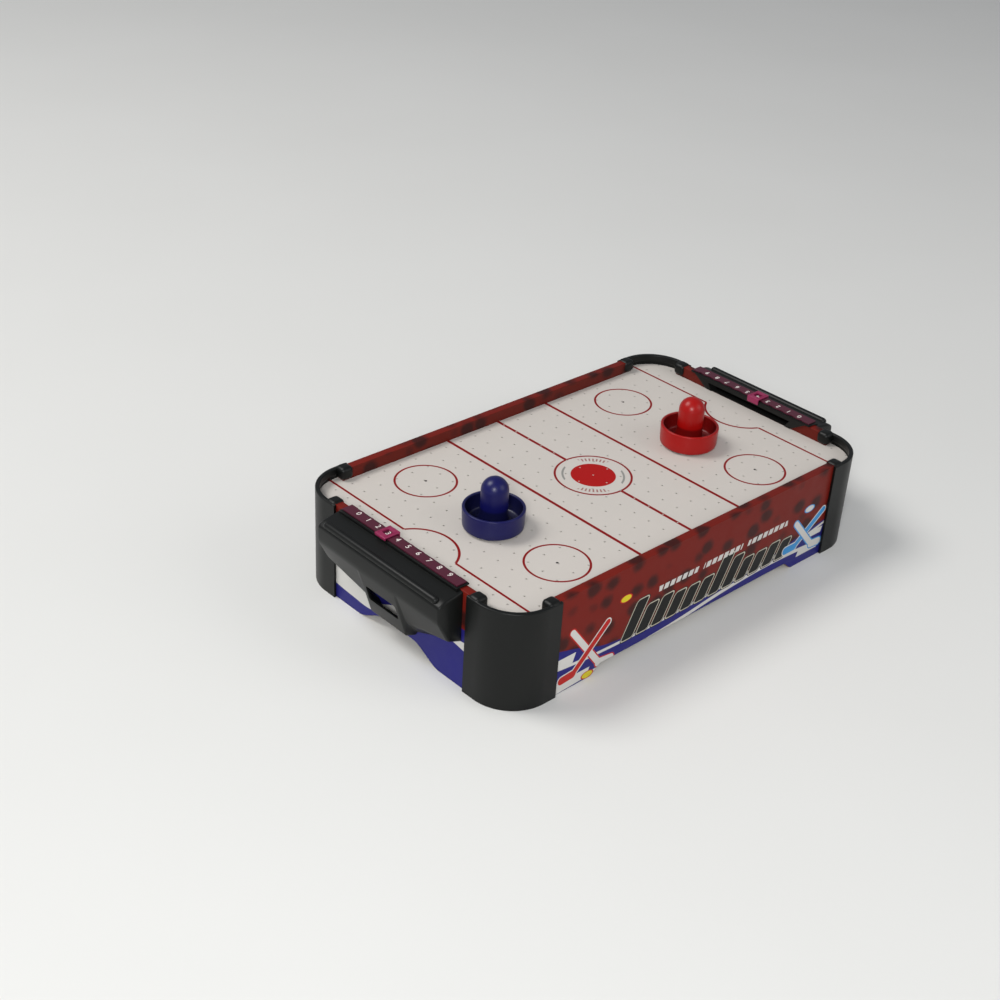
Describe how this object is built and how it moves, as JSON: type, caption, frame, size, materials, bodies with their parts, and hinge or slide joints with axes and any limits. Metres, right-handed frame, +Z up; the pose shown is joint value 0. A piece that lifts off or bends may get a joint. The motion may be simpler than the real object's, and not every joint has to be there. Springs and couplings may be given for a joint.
{
  "type": "air hockey table",
  "caption": "Tabletop air hockey table: board frame with corner caps, white perforated playfield, goal boxes with sliding scorers, blower, strikers and puck.",
  "frame": {"origin": "middle of the footprint, on the surface that the table stands on", "axes": "+X along the table to the red striker's end, +Y to the rear long side, +Z up"},
  "size_m": [0.56, 0.31, 0.1469],
  "materials": {
    "board": "wood-fibre board wrapped in a printed film, dark brown-red with a blue and white wave at the lower edge",
    "playfield": "smooth white coated hardboard with dull red printed lines",
    "hardboard": "raw brown hardboard",
    "wood": "sawn softwood",
    "black_plastic": "black moulded plastic with a fine satin texture",
    "grey_plastic": "grey moulded plastic",
    "steel": "zinc-plated steel",
    "score_strip": "dark magenta strip with ten white marks",
    "score_marker": "pink moulded plastic",
    "rocker_red": "red moulded plastic",
    "wire_red": "red PVC insulation",
    "wire_black": "black PVC insulation",
    "striker_blue": "dark blue moulded plastic",
    "striker_red": "red moulded plastic",
    "felt": "dark grey felt",
    "puck": "red moulded plastic"
  },
  "bodies": {
    "table": {"blower_guard": "black_plastic", "blower_housing": "grey_plastic", "blower_motor": "steel", "blower_screw_1": "steel", "blower_screw_2": "steel", "blower_screw_3": "steel", "blower_screw_4": "steel", "bottom_board": "hardboard", "bottom_screw_front_left": "steel", "bottom_screw_front_right": "steel", "bottom_screw_rear_left": "steel", "bottom_screw_rear_right": "steel", "cap_screw_front_left_end": "steel", "cap_screw_front_left_side": "steel", "cap_screw_front_right_end": "steel", "cap_screw_front_right_side": "steel", "cap_screw_rear_left_end": "steel", "cap_screw_rear_left_side": "steel", "cap_screw_rear_right_end": "steel", "cap_screw_rear_right_side": "steel", "corner_block_front_left": "wood", "corner_block_front_right": "wood", "corner_block_rear_left": "wood", "corner_block_rear_right": "wood", "corner_cap_front_left": "black_plastic", "corner_cap_front_right": "black_plastic", "corner_cap_rear_left": "black_plastic", "corner_cap_rear_right": "black_plastic", "front_board": "board", "goal_box_left": "black_plastic", "goal_box_left_screw_1": "steel", "goal_box_left_screw_2": "steel", "goal_box_right": "black_plastic", "goal_box_right_screw_1": "steel", "goal_box_right_screw_2": "steel", "inlet_jack": "black_plastic", "inlet_nut": "steel", "ledge_front": "wood", "ledge_left": "wood", "ledge_rear": "wood", "ledge_right": "wood", "left_end_board": "board", "playfield_board": "playfield", "rear_board": "board", "right_end_board": "board", "score_strip_left": "score_strip", "score_strip_right": "score_strip", "switch_body": "black_plastic", "wire_inlet_to_motor": "wire_black", "wire_inlet_to_switch": "wire_red", "wire_switch_to_motor": "wire_red"},
    "impeller": {"blower_impeller": "grey_plastic"},
    "rocker": {"switch_rocker": "rocker_red"},
    "marker_left": {"score_marker_left": "score_marker"},
    "marker_right": {"score_marker_right": "score_marker"},
    "blue_striker": {"striker_blue": "striker_blue", "striker_blue_felt": "felt"},
    "red_striker": {"striker_red": "striker_red", "striker_red_felt": "felt"},
    "loose_puck": {"puck": "puck"}
  },
  "joints": [
    {"name": "impeller_spin", "type": "hinge", "parent": "table", "child": "impeller", "pos_m": [0, 0, 0.04], "axis": [0, 0, 1], "continuous": true},
    {"name": "power_rocker", "type": "hinge", "parent": "table", "child": "rocker", "pos_m": [0.11, 0.15, 0.052], "axis": [0, 0, 1], "range_deg": [0, 14]},
    {"name": "score_slide_left", "type": "slide", "parent": "table", "child": "marker_left", "axis": [0, 1, 0], "range_m": [-0.087, 0.0435]},
    {"name": "score_slide_right", "type": "slide", "parent": "table", "child": "marker_right", "axis": [0, 1, 0], "range_m": [-0.058, 0.0725]},
    {"name": "blue_striker_slide", "type": "slide", "parent": "table", "child": "blue_striker", "axis": [1, 0, 0], "range_m": [-0.06, 0.112]},
    {"name": "red_striker_slide", "type": "slide", "parent": "table", "child": "red_striker", "axis": [1, 0, 0], "range_m": [-0.094, 0.079]},
    {"name": "puck_lift", "type": "slide", "parent": "table", "child": "loose_puck", "axis": [0, 0, 1], "range_m": [0, 0.03]}
  ]
}
